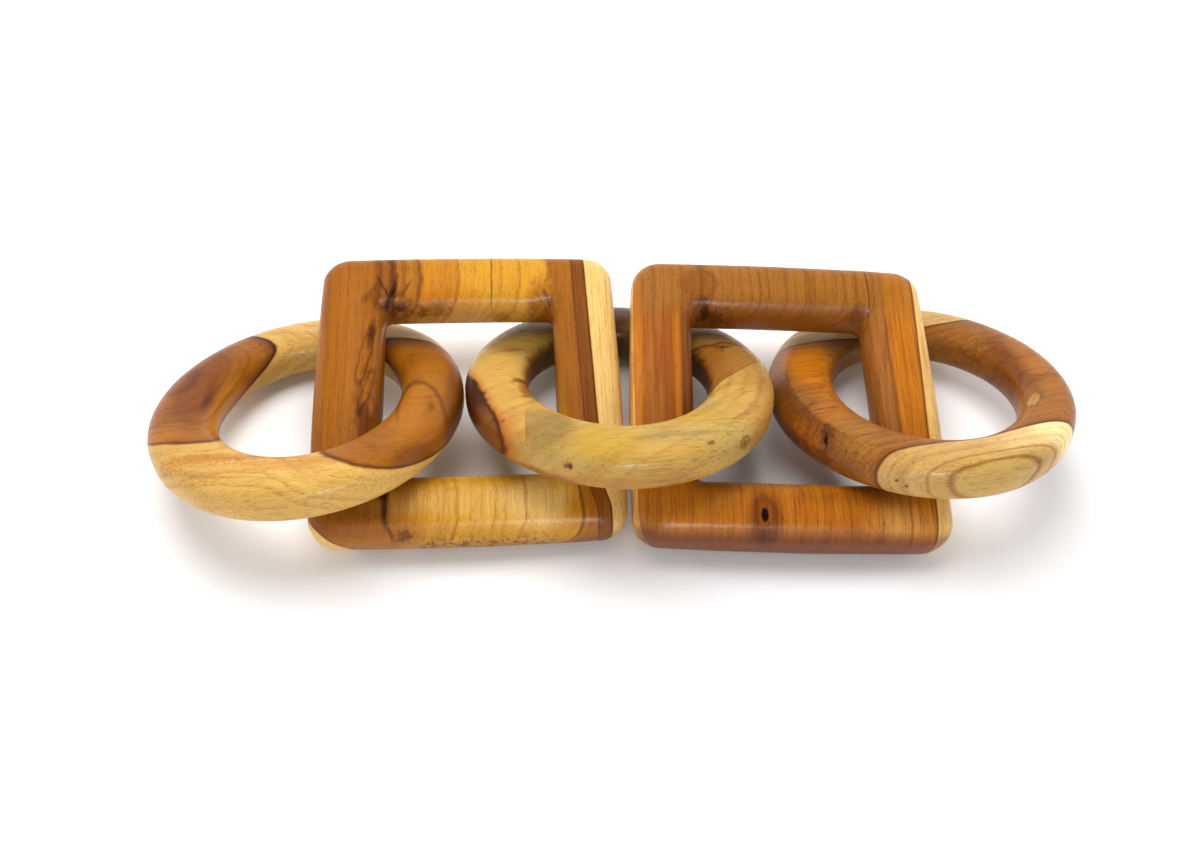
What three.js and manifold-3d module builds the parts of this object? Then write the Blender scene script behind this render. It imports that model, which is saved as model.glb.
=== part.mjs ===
// A whimsy chain: three rings and two squares, each a closed wooden link, lying loose on a table.
// Lengths are in millimetres and angles in degrees. +X runs along the chain, +Y away from the
// viewer and +Z up. The origin is on the table, under the middle of the chain.
import * as THREE from "three";
import { mergeVertices } from "three/addons/utils/BufferGeometryUtils.js";
import Module from "manifold-3d";

// How the links lie
const REST_GAP = 0.3; // between two links that lean on each other
const RING_SPACING = 0.3; // between neighbouring rings, seen from above
const SQUARE_SPACING = 1.5; // the least between the two squares, seen from above
const FOOT_DEPTH = 0.45; // worn off each link where it stands on the table

// How square the bars are in section: 2 is an ellipse, and more is squarer
const RING_BAR_SQUARENESS = 2.7;
const SQUARE_BAR_SQUARENESS = 2.9;

// The links. Each is width by depth over all, with a bar that is barWidth across the link's face
// and barHeight through it. A ring's hand-carved bar gains swell in half width towards swellAngle,
// counted from +X towards +Y. A square's sides bow out by bow, and its shift is counted from where
// the two rings in it meet. A link stands at y, is turned about the vertical, and drops its right
// side by roll.
const LEFT_RING = {
  name: "left_ring",
  width: 166,
  depth: 167.2,
  barWidth: 34.3,
  barHeight: 24.3,
  swell: 0.2,
  swellAngle: 158,
  y: 0,
  turn: 0,
  roll: -3.5,
  colour: 0xc98f4e,
};
const MIDDLE_RING = {
  name: "middle_ring",
  width: 170.8,
  depth: 170.8,
  barWidth: 35.4,
  barHeight: 25.1,
  swell: 0.4,
  swellAngle: 338,
  y: 7,
  turn: 0,
  roll: 0.3,
  colour: 0xbf9a4c,
};
const RIGHT_RING = {
  name: "right_ring",
  width: 166,
  depth: 170,
  barWidth: 33.3,
  barHeight: 25.6,
  swell: 2.3,
  swellAngle: 139,
  y: 0,
  turn: 0,
  roll: -3.4,
  colour: 0xb67a3c,
};
const LEFT_SQUARE = {
  name: "left_square",
  width: 165.8,
  depth: 168.3,
  barWidth: 36.1,
  barHeight: 28.7,
  cornerRadius: 14,
  holeCornerRadius: 4,
  bow: 0.8,
  shift: 2.6,
  y: 5.2,
  turn: 0.8,
  roll: 1,
  colour: 0xbd7b33,
};
const RIGHT_SQUARE = {
  name: "right_square",
  width: 169.6,
  depth: 168,
  barWidth: 34.7,
  barHeight: 31.8,
  cornerRadius: 14,
  holeCornerRadius: 4,
  bow: 0.8,
  shift: 5.3,
  y: -4.8,
  turn: -3.1,
  roll: 1,
  colour: 0xa9642c,
};

// Facets of the solids
const RING_STEPS = 56;
const BAR_STEPS = 16;
const CORNER_STEPS = 5;
const SIDE_STEPS = 5;

// The search for the lean at which two links just clear each other
const FIRST_LEAN = 15;
const STEEPEST_LEAN = 45;
const HALVINGS = 14;
const SETTLING_ROUNDS = 4;
const FINE_RING_STEPS = 144;
const FINE_BAR_STEPS = 48;

// Varnished wood
const ROUGHNESS = 0.35;
const METALNESS = 0;

const radians = THREE.MathUtils.degToRad;
const signedPower = (value, power) => Math.sign(value) * Math.abs(value) ** power;
const row = (count, make) => Array.from({ length: count }, (_, i) => make(i));

// One point on the rounded section of a bar whose half width and half height are 1.
function barPoint(step, steps, squareness) {
  const angle = (2 * Math.PI * step) / steps;
  return {
    out: signedPower(Math.cos(angle), 2 / squareness),
    up: signedPower(Math.sin(angle), 2 / squareness),
  };
}

// The outline of a rectangle with round corners, anticlockwise, as corner arcs and straight sides.
function roundedRectangle(halfX, halfY, radius) {
  const corners = row(4, (corner) => {
    const sideX = corner === 0 || corner === 3 ? 1 : -1;
    const sideY = corner < 2 ? 1 : -1;
    const centre = new THREE.Vector2(sideX * (halfX - radius), sideY * (halfY - radius));
    return row(CORNER_STEPS + 1, (step) => {
      const angle = (Math.PI / 2) * (corner + step / CORNER_STEPS);
      return new THREE.Vector2(Math.cos(angle), Math.sin(angle)).multiplyScalar(radius).add(centre);
    });
  });
  return corners.flatMap((arc, corner) => {
    const from = arc[CORNER_STEPS];
    const to = corners[(corner + 1) % 4][0];
    return [...arc, ...row(SIDE_STEPS - 1, (k) => from.clone().lerp(to, (k + 1) / SIDE_STEPS))];
  });
}

class Link {
  constructor(size) {
    Object.assign(this, size);
    this.middleX = (size.width - size.barWidth) / 2; // to the middle of the bar
    this.middleY = (size.depth - size.barWidth) / 2;
    this.neighbours = [];
  }

  // Each link clasps its neighbour, so each may lean on the other.
  clasp(other) {
    this.neighbours.push(other);
    other.neighbours.push(this);
  }

  // Where the link stands when its raised side is up by `lean` degrees. Its lowest point is
  // FOOT_DEPTH under the table top, because its foot is worn flat there.
  standing(lean) {
    const place = new THREE.Object3D();
    place.rotation.set(radians(this.raises * lean), radians(this.roll), radians(this.turn), "ZXY");
    place.updateMatrix();
    const heights = this.fineSurface.map((point) => point.clone().applyMatrix4(place.matrix).z);
    place.position.set(this.x, this.y, -Math.min(...heights) - FOOT_DEPTH);
    place.updateMatrix();
    return place;
  }

  // The least lean that keeps REST_GAP to each neighbour.
  settle() {
    let low = 0;
    let high = STEEPEST_LEAN;
    for (let step = 0; step < HALVINGS; step++) {
      const lean = (low + high) / 2;
      const place = this.standing(lean);
      const gaps = this.neighbours.map((other) => this.gapTo(other, place));
      if (Math.min(...gaps) < REST_GAP) low = lean;
      else high = lean;
    }
    this.place = this.standing(high);
  }
}

class Ring extends Link {
  raises = -1; // its front is raised and its back stands on the table

  constructor(size) {
    super(size);
    this.fineSurface = this.loops(FINE_RING_STEPS, FINE_BAR_STEPS).flat();
    this.frontHalf = this.fineSurface.filter((point) => point.y < 0);
    this.backHalf = this.fineSurface.filter((point) => point.y >= 0);
  }

  // How far the ring reaches from its middle towards an angle in degrees.
  reach(angle) {
    return this.width / 2 + this.swell * Math.cos(radians(angle - this.swellAngle));
  }

  // The surface as loops around the bar, one for each step around the ring.
  loops(ringSteps = RING_STEPS, barSteps = BAR_STEPS) {
    return row(ringSteps, (i) => {
      const angle = (2 * Math.PI * i) / ringSteps;
      const halfWidth = this.barWidth / 2 + this.swell * Math.cos(angle - radians(this.swellAngle));
      return row(barSteps, (j) => {
        const { out, up } = barPoint(j, barSteps, RING_BAR_SQUARENESS);
        const x = (this.middleX + halfWidth * out) * Math.cos(angle);
        const y = (this.middleY + halfWidth * out) * Math.sin(angle);
        return new THREE.Vector3(x, y, (this.barHeight / 2) * up);
      });
    });
  }

  // The least gap to a square under the raised front, with the ring at `place`.
  gapTo(square, place) {
    return square.clearanceOf(this.frontHalf, place, square.place);
  }
}

class Square extends Link {
  raises = 1; // its back is raised and its front stands on the table

  constructor(size) {
    super(size);
    this.fineSurface = this.loops(FINE_BAR_STEPS).flat();
  }

  // How far a bowed side stands out from a straight one, `along` being -1 to 1 from end to end.
  bowed(half, along) {
    return 1 + (this.bow / half) * (1 - along * along);
  }

  // How far the square reaches from its middle to either side.
  reach() {
    return (this.width / 2) * this.bowed(this.middleX, 0);
  }

  // The surface as loops around the bar, one for each step around the square.
  loops(barSteps = BAR_STEPS) {
    const outlines = row(barSteps, (j) => {
      const { out, up } = barPoint(j, barSteps, SQUARE_BAR_SQUARENESS);
      const offset = (this.barWidth / 2) * out;
      const radius = THREE.MathUtils.lerp(this.holeCornerRadius, this.cornerRadius, (out + 1) / 2);
      return roundedRectangle(this.middleX + offset, this.middleY + offset, radius).map((point) => {
        const x = point.x * this.bowed(this.middleX, point.y / this.middleY);
        const y = point.y * this.bowed(this.middleY, point.x / this.middleX);
        return new THREE.Vector3(x, y, (this.barHeight / 2) * up);
      });
    });
    return outlines[0].map((_, i) => outlines.map((outline) => outline[i]));
  }

  // How far a point of the square's own frame is outside its bar, measured from the bar's middle.
  clearanceAt(point) {
    const radius = (this.cornerRadius + this.holeCornerRadius) / 2;
    const x = Math.abs(point.x) / this.bowed(this.middleX, point.y / this.middleY);
    const y = Math.abs(point.y) / this.bowed(this.middleY, point.x / this.middleX);
    const pastX = x - this.middleX + radius;
    const pastY = y - this.middleY + radius;
    const inside = Math.min(Math.max(pastX, pastY), 0);
    const out = Math.hypot(Math.max(pastX, 0), Math.max(pastY, 0)) + inside - radius;
    const shareOut = Math.abs((2 * out) / this.barWidth) ** SQUARE_BAR_SQUARENESS;
    const shareUp = Math.abs((2 * point.z) / this.barHeight) ** SQUARE_BAR_SQUARENESS;
    const share = (shareOut + shareUp) ** (1 / SQUARE_BAR_SQUARENESS);
    return (1 - 1 / share) * Math.hypot(out, point.z);
  }

  // The least clearance of some of a ring's points, with the ring and this square where given.
  clearanceOf(points, ringPlace, ownPlace) {
    const intoSquare = ownPlace.matrix.clone().invert().multiply(ringPlace.matrix);
    return Math.min(...points.map((point) => this.clearanceAt(point.clone().applyMatrix4(intoSquare))));
  }

  // The least gap to a ring's back under the raised back, with the square at `place`.
  gapTo(ring, place) {
    return this.clearanceOf(ring.backHalf, ring.place, place);
  }
}

// The chain's plan: rings stand in a row, and each square lies about where its two rings meet.
const leftRing = new Ring(LEFT_RING);
const middleRing = new Ring(MIDDLE_RING);
const rightRing = new Ring(RIGHT_RING);
const leftSquare = new Square(LEFT_SQUARE);
const rightSquare = new Square(RIGHT_SQUARE);
const links = [leftRing, leftSquare, middleRing, rightSquare, rightRing];

const RIGHTWARDS = 0;
const LEFTWARDS = 180;
middleRing.x = 0;
leftRing.x = -middleRing.reach(LEFTWARDS) - RING_SPACING - leftRing.reach(RIGHTWARDS);
rightRing.x = middleRing.reach(RIGHTWARDS) + RING_SPACING + rightRing.reach(LEFTWARDS);
leftSquare.x = -middleRing.reach(LEFTWARDS) + leftSquare.shift;
rightSquare.x = Math.max(
  middleRing.reach(RIGHTWARDS) + rightSquare.shift,
  leftSquare.x + leftSquare.reach() + SQUARE_SPACING + rightSquare.reach(),
);

leftRing.clasp(leftSquare);
leftSquare.clasp(middleRing);
middleRing.clasp(rightSquare);
rightSquare.clasp(rightRing);

// Each link in turn leans on its neighbours, until the chain has settled.
for (const link of links) link.place = link.standing(FIRST_LEAN);
for (let round = 0; round < SETTLING_ROUNDS; round++) links.forEach((link) => link.settle());

// The closed skin over a closed row of closed loops.
function skin(loops) {
  const loopSize = loops[0].length;
  const index = loops.flatMap((loop, i) => {
    const here = i * loopSize;
    const next = ((i + 1) % loops.length) * loopSize;
    return loop.flatMap((_, j) => {
      const k = (j + 1) % loopSize;
      return [here + j, next + j, next + k, here + j, next + k, here + k];
    });
  });
  return new THREE.BufferGeometry().setFromPoints(loops.flat()).setIndex(index);
}

const wasm = await Module();
wasm.setup();

function solid(geometry) {
  const bare = geometry.clone().deleteAttribute("normal").deleteAttribute("uv");
  const merged = mergeVertices(bare);
  const vertProperties = new Float32Array(merged.attributes.position.array);
  const triVerts = new Uint32Array(merged.index.array);
  return new wasm.Manifold(new wasm.Mesh({ numProp: 3, vertProperties, triVerts }));
}

function geometryOf(body) {
  const { vertProperties, triVerts } = body.getMesh();
  const geometry = new THREE.BufferGeometry();
  geometry.setAttribute("position", new THREE.BufferAttribute(vertProperties, 3));
  geometry.setIndex(new THREE.BufferAttribute(triVerts, 1));
  return geometry;
}

// A link's geometry in its own frame, cut flat where the link stands on the table.
function carved(link) {
  const span = 2 * (link.width + link.depth);
  const table = new THREE.BoxGeometry(span, span, link.barHeight);
  table.translate(link.x, link.y, -link.barHeight / 2);
  table.applyMatrix4(link.place.matrix.clone().invert());
  const geometry = geometryOf(solid(skin(link.loops())).subtract(solid(table))).toNonIndexed();
  geometry.computeVertexNormals();
  return geometry;
}

function linkMesh(link) {
  const material = new THREE.MeshStandardMaterial({
    color: link.colour,
    roughness: ROUGHNESS,
    metalness: METALNESS,
  });
  const mesh = new THREE.Mesh(carved(link), material);
  mesh.name = link.name;
  mesh.position.copy(link.place.position);
  mesh.rotation.copy(link.place.rotation);
  return mesh;
}

// The chain lies with the middle of its plan over the origin.
const laid = new THREE.Group();
laid.add(...links.map(linkMesh));
const middle = new THREE.Box3().setFromObject(laid, true).getCenter(new THREE.Vector3());
laid.position.set(-middle.x, -middle.y, 0);

const chain = new THREE.Group();
chain.name = "whimsy_chain";
chain.add(laid);
export default chain;
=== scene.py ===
"""A whimsy chain of three rings and two squares, carved from wood, lying loose on a table."""

import math

import bpy
import numpy as np
from bpy.props import FloatProperty, FloatVectorProperty, IntProperty, PointerProperty
from bpy.types import Operator, Panel, PropertyGroup
from mathutils import Matrix, Vector
from mathutils import noise as wood_noise


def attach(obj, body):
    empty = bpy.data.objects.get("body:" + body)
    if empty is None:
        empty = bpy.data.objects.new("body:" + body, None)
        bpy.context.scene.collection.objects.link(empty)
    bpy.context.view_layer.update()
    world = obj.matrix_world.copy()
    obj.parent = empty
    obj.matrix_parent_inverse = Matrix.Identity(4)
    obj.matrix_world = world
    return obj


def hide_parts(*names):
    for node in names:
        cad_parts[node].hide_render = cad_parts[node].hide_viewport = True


bl_info = {
    "name": "Whimsy chain",
    "version": (1, 0, 0),
    "blender": (4, 5, 0),
    "location": "3D View > Sidebar > Whimsy chain",
    "description": "Makes a carved wooden chain of rings and squares as it lies on a table",
    "category": "Object",
}

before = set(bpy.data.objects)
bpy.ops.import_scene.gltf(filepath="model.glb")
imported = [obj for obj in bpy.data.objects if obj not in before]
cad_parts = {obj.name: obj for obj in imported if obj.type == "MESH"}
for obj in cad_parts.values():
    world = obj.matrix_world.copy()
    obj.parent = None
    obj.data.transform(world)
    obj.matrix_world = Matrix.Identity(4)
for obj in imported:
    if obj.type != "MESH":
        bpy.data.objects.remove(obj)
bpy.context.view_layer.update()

BODY = "root"
MM = 0.001


# How the sizes are shown to the user: lengths are held in metres and angles in radians.

def length(label, description, millimetres):
    """A length property whose default is given in millimetres."""
    return FloatProperty(
        name=label, description=description, default=millimetres * MM, subtype="DISTANCE", unit="LENGTH"
    )


def turning(label, description, degrees):
    """An angle property whose default is given in degrees."""
    return FloatProperty(
        name=label, description=description, default=math.radians(degrees), subtype="ANGLE", unit="ROTATION"
    )


def tone(label, description, colour):
    """A colour property."""
    return FloatVectorProperty(
        name=label, description=description, default=colour, size=3, min=0, max=1, subtype="COLOR"
    )


def group(kind, label):
    """A property that holds a group of settings."""
    return PointerProperty(type=kind, name=label, description=kind.__doc__)


LINK_SIZES = {
    "width": (length, "Width", "Over all, along the chain"),
    "depth": (length, "Depth", "Over all, across the chain"),
    "bar_width": (length, "Bar width", "Across the link's face"),
    "bar_height": (length, "Bar height", "Through the link's face"),
    "swell": (length, "Swell", "What the bar gains in half width on its widest side"),
    "swell_angle": (turning, "Swell angle", "Where the bar is widest"),
    "corner_radius": (length, "Corner radius", "Outer corner of a square"),
    "hole_corner_radius": (length, "Hole corner radius", "Inner corner of a square"),
    "bow": (length, "Bow", "How far a square's sides stand out at their middle"),
    "shift": (length, "Shift", "From where the two rings in a square meet to its middle"),
    "across": (length, "Across", "From the chain's middle line to the link's middle"),
    "turn": (turning, "Turn", "About the vertical"),
    "roll": (turning, "Roll", "How far the right side drops"),
}


def link_group(class_name, description, **defaults):
    """A property group with one link's sizes."""
    properties = {}
    for key, default in defaults.items():
        make, label, text = LINK_SIZES[key]
        properties[key] = make(label, text, default)
    return type(class_name, (PropertyGroup,), {"__doc__": description, "__annotations__": properties})


LeftRingSizes = link_group(
    "LeftRingSizes", "Sizes of the left ring", width=166, depth=167.2, bar_width=34.3, bar_height=24.3,
    swell=0.2, swell_angle=158, across=0, turn=0, roll=-3.5,
)
MiddleRingSizes = link_group(
    "MiddleRingSizes", "Sizes of the middle ring", width=170.8, depth=170.8, bar_width=35.4, bar_height=25.1,
    swell=0.4, swell_angle=338, across=7, turn=0, roll=0.3,
)
RightRingSizes = link_group(
    "RightRingSizes", "Sizes of the right ring", width=166, depth=170, bar_width=33.3, bar_height=25.6,
    swell=2.3, swell_angle=139, across=0, turn=0, roll=-3.4,
)
LeftSquareSizes = link_group(
    "LeftSquareSizes", "Sizes of the left square", width=165.8, depth=168.3, bar_width=36.1, bar_height=28.7,
    corner_radius=14, hole_corner_radius=4, bow=0.8, shift=2.6, across=5.2, turn=0.8, roll=1,
)
RightSquareSizes = link_group(
    "RightSquareSizes", "Sizes of the right square", width=169.6, depth=168, bar_width=34.7, bar_height=31.8,
    corner_radius=14, hole_corner_radius=4, bow=0.8, shift=5.3, across=-4.8, turn=-3.1, roll=1,
)


WOOD_TONES = {
    "sapwood": ("Sapwood", "The pale wood from under the bark"),
    "pale": ("Palest wood", "Where the sapwood is palest"),
    "golden": ("Golden wood", "Where the wood is more golden"),
    "mustard": ("Mustard wood", "Where the wood is more yellow"),
    "rust": ("Rusty wood", "Where the wood is more orange"),
    "heartwood": ("Heartwood", "The brown wood of the tree's middle"),
    "brown": ("Brown patches", "Where the wood is brown"),
    "dull": ("Dull heartwood", "Where the brown is darker"),
    "olive": ("Olive wood", "Where the wood is olive"),
    "grey": ("Grey wood", "Where the wood is stained grey"),
    "dark": ("Dark wood", "The darkest patches"),
}


def wood_group(class_name, description, **defaults):
    """A property group with the colours of one link's wood."""
    properties = {key: tone(*WOOD_TONES[key], colour) for key, colour in defaults.items()}
    return type(class_name, (PropertyGroup,), {"__doc__": description, "__annotations__": properties})


LeftRingWood = wood_group(
    "LeftRingWood", "Colours of the left ring's wood", sapwood=(0.57, 0.34, 0.078),
    golden=(0.44, 0.165, 0.004), heartwood=(0.29, 0.094, 0.002), dull=(0.17, 0.042, 0.001),
)
LeftSquareWood = wood_group(
    "LeftSquareWood", "Colours of the left square's wood", sapwood=(0.72, 0.47, 0.15),
    golden=(0.57, 0.28, 0.014), rust=(0.43, 0.145, 0.002), heartwood=(0.29, 0.094, 0.003),
    dull=(0.18, 0.05, 0.001),
)
MiddleRingWood = wood_group(
    "MiddleRingWood", "Colours of the middle ring's wood", sapwood=(0.5, 0.28, 0.05),
    golden=(0.44, 0.29, 0.072), mustard=(0.46, 0.27, 0.014), brown=(0.28, 0.09, 0.007),
    olive=(0.22, 0.125, 0.018), grey=(0.22, 0.135, 0.032), dark=(0.045, 0.008, 0.0),
)
RightSquareWood = wood_group(
    "RightSquareWood", "Colours of the right square's wood", sapwood=(0.78, 0.48, 0.14),
    golden=(0.58, 0.2, 0.008), heartwood=(0.32, 0.097, 0.006), dull=(0.21, 0.055, 0.002),
)
RightRingWood = wood_group(
    "RightRingWood", "Colours of the right ring's wood", sapwood=(0.51, 0.315, 0.095),
    pale=(0.98, 0.74, 0.34), golden=(0.53, 0.17, 0.002), heartwood=(0.29, 0.107, 0.012),
    dull=(0.16, 0.043, 0.003), grey=(0.5, 0.325, 0.075), dark=(0.012, 0.002, 0.0),
)


class ChainLay(PropertyGroup):
    """How the links lie and how finely they are carved"""

    rest_gap: length("Rest gap", "Between two links that lean on each other", 0.3)
    ring_spacing: length("Ring spacing", "Between neighbouring rings, seen from above", 0.3)
    square_spacing: length("Square spacing", "The least between the two squares, seen from above", 1.5)
    foot_depth: length("Foot depth", "Worn off each link where it stands", 0.45)
    ring_squareness: FloatProperty(
        name="Ring bar squareness", description="2 is an ellipse, and more is squarer", default=2.7, min=2
    )
    square_squareness: FloatProperty(
        name="Square bar squareness", description="2 is an ellipse, and more is squarer", default=2.9, min=2
    )
    path_steps: IntProperty(
        name="Steps along the bar", description="Faces along a link's bar", default=384, min=48
    )
    bar_steps: IntProperty(
        name="Steps around the bar", description="Faces around a link's bar", default=96, min=16
    )
    carving_depth: length("Carving depth", "How deep the hand tool's waves go", 0.35)
    carving_wave: length("Carving wave", "From one wave to the next", 26)


# The shapes of the links, in millimetres and degrees of the part's frame

FIRST_LEAN = 15
STEEPEST_LEAN = 45
HALVINGS = 14
SETTLING_ROUNDS = 4
FINE_RING_STEPS = 144
FINE_BAR_STEPS = 48
CORNER_SHARE = 1 / 12  # of the steps along a square's bar that each corner takes
FLAT_SOFTNESS = 0.5
FLAT_END_SHARE = 2 / 3  # of half a ring's flat that its soft end takes


def signed_power(value, power):
    """The power of a value's size, with the value's sign."""
    return np.sign(value) * np.abs(value) ** power


def turned(degrees, axis):
    """A rotation about one axis."""
    return np.array(Matrix.Rotation(math.radians(degrees), 3, axis))


class Link:
    """One closed link, with its sizes in millimetres and its place in the chain."""

    def __init__(self, sizes, lay):
        for key, (make, _label, _text) in LINK_SIZES.items():
            value = getattr(sizes, key, 0)
            setattr(self, key, math.degrees(value) if make is turning else value / MM)
        self.foot_depth = lay.foot_depth / MM
        self.rest_gap = lay.rest_gap / MM
        self.squareness = self.squareness_of(lay)
        self.middle_x = (self.width - self.bar_width) / 2
        self.middle_y = (self.depth - self.bar_width) / 2
        self.neighbours = []
        self.fine = self.surface(FINE_RING_STEPS, FINE_BAR_STEPS).reshape(-1, 3)

    def clasp(self, other):
        """Each link clasps its neighbour, so each may lean on the other."""
        self.neighbours.append(other)
        other.neighbours.append(self)

    def section(self, steps):
        """The rounded section of a bar whose half width and half height are 1."""
        angle = 2 * math.pi * np.arange(steps) / steps
        power = 2 / self.squareness
        return signed_power(np.cos(angle), power), signed_power(np.sin(angle), power)

    def stand(self, lean):
        """Places the link with its raised side up by the lean, its foot worn flat on the table."""
        tilt = turned(self.raises * lean, "X") @ turned(self.roll, "Y")
        self.rotation = turned(self.turn, "Z") @ tilt
        lowest = (self.fine @ self.rotation.T)[:, 2].min()
        self.position = np.array([self.x, self.across, -lowest - self.foot_depth])

    def placed(self, points):
        """Points of the link's own frame, where the link lies."""
        return points @ self.rotation.T + self.position

    def inward(self, points):
        """Points of the table's frame, in the link's own frame."""
        return (points - self.position) @ self.rotation

    def settle(self):
        """Finds the least lean that keeps the rest gap to each neighbour."""
        low = 0
        high = STEEPEST_LEAN
        for _ in range(HALVINGS):
            lean = (low + high) / 2
            self.stand(lean)
            if min(self.gap_to(other) for other in self.neighbours) < self.rest_gap:
                low = lean
            else:
                high = lean
        self.stand(high)

    def shaved(self, loops, slope, reach, **part):
        """The surface with a flat on part of it, by the flat's slope and its reach from the bar's middle."""
        outward, out, share = self.flat_part(loops, **part)
        level = math.cos(math.radians(slope))
        rise = math.sin(math.radians(slope))
        past = out * level + loops[..., 2] * rise - reach
        cut = (past + np.sqrt(past * past + FLAT_SOFTNESS**2)) / 2 * share
        moved = loops.copy()
        moved[..., :2] -= outward * (cut * level)[..., None]
        moved[..., 2] -= cut * rise
        return moved


class Ring(Link):
    """A ring: its front is raised and its back stands on the table."""

    raises = -1

    def squareness_of(self, lay):
        """How square a ring's bar is."""
        return lay.ring_squareness

    def reach(self, angle):
        """How far the ring reaches from its middle towards an angle in degrees."""
        return self.width / 2 + self.swell * math.cos(math.radians(angle - self.swell_angle))

    def surface(self, path_steps, bar_steps):
        """The surface as loops around the bar, one for each step around the ring."""
        out, up = self.section(bar_steps)
        angle = (2 * math.pi * np.arange(path_steps) / path_steps)[:, None]
        half_width = self.bar_width / 2 + self.swell * np.cos(angle - math.radians(self.swell_angle))
        x = (self.middle_x + half_width * out) * np.cos(angle)
        y = (self.middle_y + half_width * out) * np.sin(angle)
        return np.stack([x, y, self.bar_height / 2 * up + 0 * x], axis=-1)

    def gap_to(self, square):
        """The least gap to a square under the raised front."""
        front = self.fine[self.fine[:, 1] < 0]
        return square.clearance(square.inward(self.placed(front))).min()

    def flat_part(self, loops, middle, spread):
        """Where a flat is shaved: the way outward, how far out, and the share around its middle angle."""
        radius = np.hypot(loops[..., 0], loops[..., 1])
        outward = loops[..., :2] / radius[..., None]
        angle = np.degrees(np.arctan2(loops[..., 1], loops[..., 0]))
        off = np.abs((angle - middle + 180) % 360 - 180)
        share = np.clip((1 - off / spread) / FLAT_END_SHARE, 0, 1)
        return outward, radius - self.middle_x, share * share * (3 - 2 * share)


class Square(Link):
    """A square: its back is raised and its front stands on the table."""

    raises = 1

    def squareness_of(self, lay):
        """How square a square's bar is."""
        return lay.square_squareness

    def bowed(self, half, along):
        """How far a bowed side stands out, along being -1 to 1 from end to end."""
        return 1 + self.bow / half * (1 - along * along)

    def reach(self):
        """How far the square reaches from its middle to either side."""
        return self.width / 2 * self.bowed(self.middle_x, 0)

    def surface(self, path_steps, bar_steps):
        """The surface as loops around the bar, one for each step around the square."""
        corner_steps = max(round(path_steps * CORNER_SHARE), 4)
        side_steps = path_steps // 4 - corner_steps
        out, up = self.section(bar_steps)
        offset = self.bar_width / 2 * out
        radius = np.interp(out, [-1, 1], [self.hole_corner_radius, self.corner_radius])
        inset = np.array([self.middle_x, self.middle_y])[:, None] + offset - radius
        loops = []
        signs = [(1, 1), (-1, 1), (-1, -1), (1, -1)]
        for corner, (side_x, side_y) in enumerate(signs):
            centre = np.stack([side_x * inset[0], side_y * inset[1]])
            next_x, next_y = signs[(corner + 1) % 4]
            next_centre = np.stack([next_x * inset[0], next_y * inset[1]])
            for step in range(corner_steps):
                angle = math.pi / 2 * (corner + step / corner_steps)
                loops.append(centre + radius * np.array([[math.cos(angle)], [math.sin(angle)]]))
            angle = math.pi / 2 * (corner + 1)
            outward = radius * np.array([[math.cos(angle)], [math.sin(angle)]])
            for step in range(side_steps):
                share = step / side_steps
                loops.append((1 - share) * centre + share * next_centre + outward)
        plan = np.array(loops)
        x = plan[:, 0] * self.bowed(self.middle_x, plan[:, 1] / self.middle_y)
        y = plan[:, 1] * self.bowed(self.middle_y, plan[:, 0] / self.middle_x)
        return np.stack([x, y, self.bar_height / 2 * up + 0 * x], axis=-1)

    def clearance(self, points):
        """How far points of the square's own frame are outside its bar."""
        radius = (self.corner_radius + self.hole_corner_radius) / 2
        x = np.abs(points[:, 0]) / self.bowed(self.middle_x, points[:, 1] / self.middle_y)
        y = np.abs(points[:, 1]) / self.bowed(self.middle_y, points[:, 0] / self.middle_x)
        past_x = x - self.middle_x + radius
        past_y = y - self.middle_y + radius
        inside = np.minimum(np.maximum(past_x, past_y), 0)
        out = np.hypot(np.maximum(past_x, 0), np.maximum(past_y, 0)) + inside - radius
        share_out = np.abs(2 * out / self.bar_width) ** self.squareness
        share_up = np.abs(2 * points[:, 2] / self.bar_height) ** self.squareness
        share = (share_out + share_up) ** (1 / self.squareness)
        return (1 - 1 / share) * np.hypot(out, points[:, 2])

    def gap_to(self, ring):
        """The least gap to a ring's back under the raised back."""
        back = ring.fine[ring.fine[:, 1] >= 0]
        return self.clearance(self.inward(ring.placed(back))).min()

    def flat_part(self, loops):
        """Where a flat is shaved: the way outward, how far out, and the share at the front bar."""
        out = -loops[..., 1] - self.middle_y
        return np.array([0, -1]), out, np.clip((out + self.bar_width / 2) / self.bar_width, 0, 1)


def laid_chain(chain):
    """The five links by name, settled on the table with the middle of their plan over the origin."""
    lay = chain.lay
    left_ring = Ring(chain.left_ring, lay)
    left_square = Square(chain.left_square, lay)
    middle_ring = Ring(chain.middle_ring, lay)
    right_square = Square(chain.right_square, lay)
    right_ring = Ring(chain.right_ring, lay)
    spacing = lay.ring_spacing / MM
    middle_ring.x = 0
    left_ring.x = -middle_ring.reach(180) - spacing - left_ring.reach(0)
    right_ring.x = middle_ring.reach(0) + spacing + right_ring.reach(180)
    left_square.x = -middle_ring.reach(180) + left_square.shift
    right_square.x = max(
        middle_ring.reach(0) + right_square.shift,
        left_square.x + left_square.reach() + lay.square_spacing / MM + right_square.reach(),
    )
    links = [left_ring, left_square, middle_ring, right_square, right_ring]
    for link, other in zip(links, links[1:]):
        link.clasp(other)
    for link in links:
        link.stand(FIRST_LEAN)
    for _ in range(SETTLING_ROUNDS):
        for link in links:
            link.settle()
    plan = np.concatenate([link.placed(link.fine) for link in links])[:, :2]
    middle = (plan.min(axis=0) + plan.max(axis=0)) / 2
    for link in links:
        link.position[:2] -= middle
    return dict(zip(("left_ring", "left_square", "middle_ring", "right_square", "right_ring"), links))


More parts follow.
